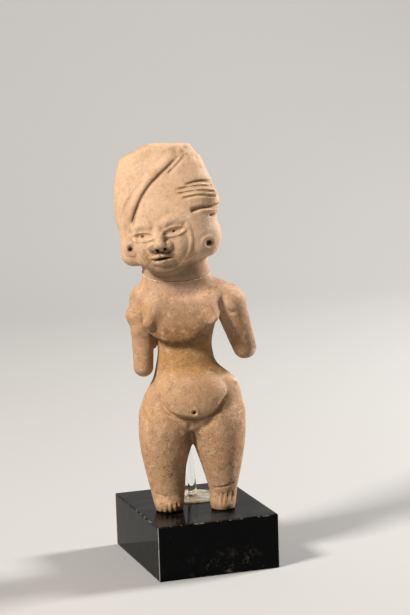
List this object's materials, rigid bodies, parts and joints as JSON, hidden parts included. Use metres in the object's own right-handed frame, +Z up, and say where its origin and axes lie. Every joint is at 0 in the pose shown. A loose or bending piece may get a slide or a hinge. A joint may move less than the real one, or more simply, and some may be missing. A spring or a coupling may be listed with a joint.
{
  "type": "venus figurine",
  "caption": "Small standing clay female figure with tall flat head and arm stumps, held on a black display plinth by a clear rod and a neck thread",
  "frame": {"origin": "middle of the plinth's underside", "axes": "+Z up along the standing figure, -Y the plinth's front, +X to the right seen from the front"},
  "size_m": [0.0442, 0.05, 0.1383],
  "materials": {
    "fired_clay": "matte",
    "black_lacquer": "gloss",
    "clear_acrylic": "polished",
    "adhesive": "gloss",
    "nylon": "satin"
  },
  "bodies": {
    "root": {"figurine": "fired_clay", "plinth": "black_lacquer", "support_rod": "clear_acrylic", "rod_foot": "adhesive", "neck_thread": "nylon"}
  },
  "joints": []
}
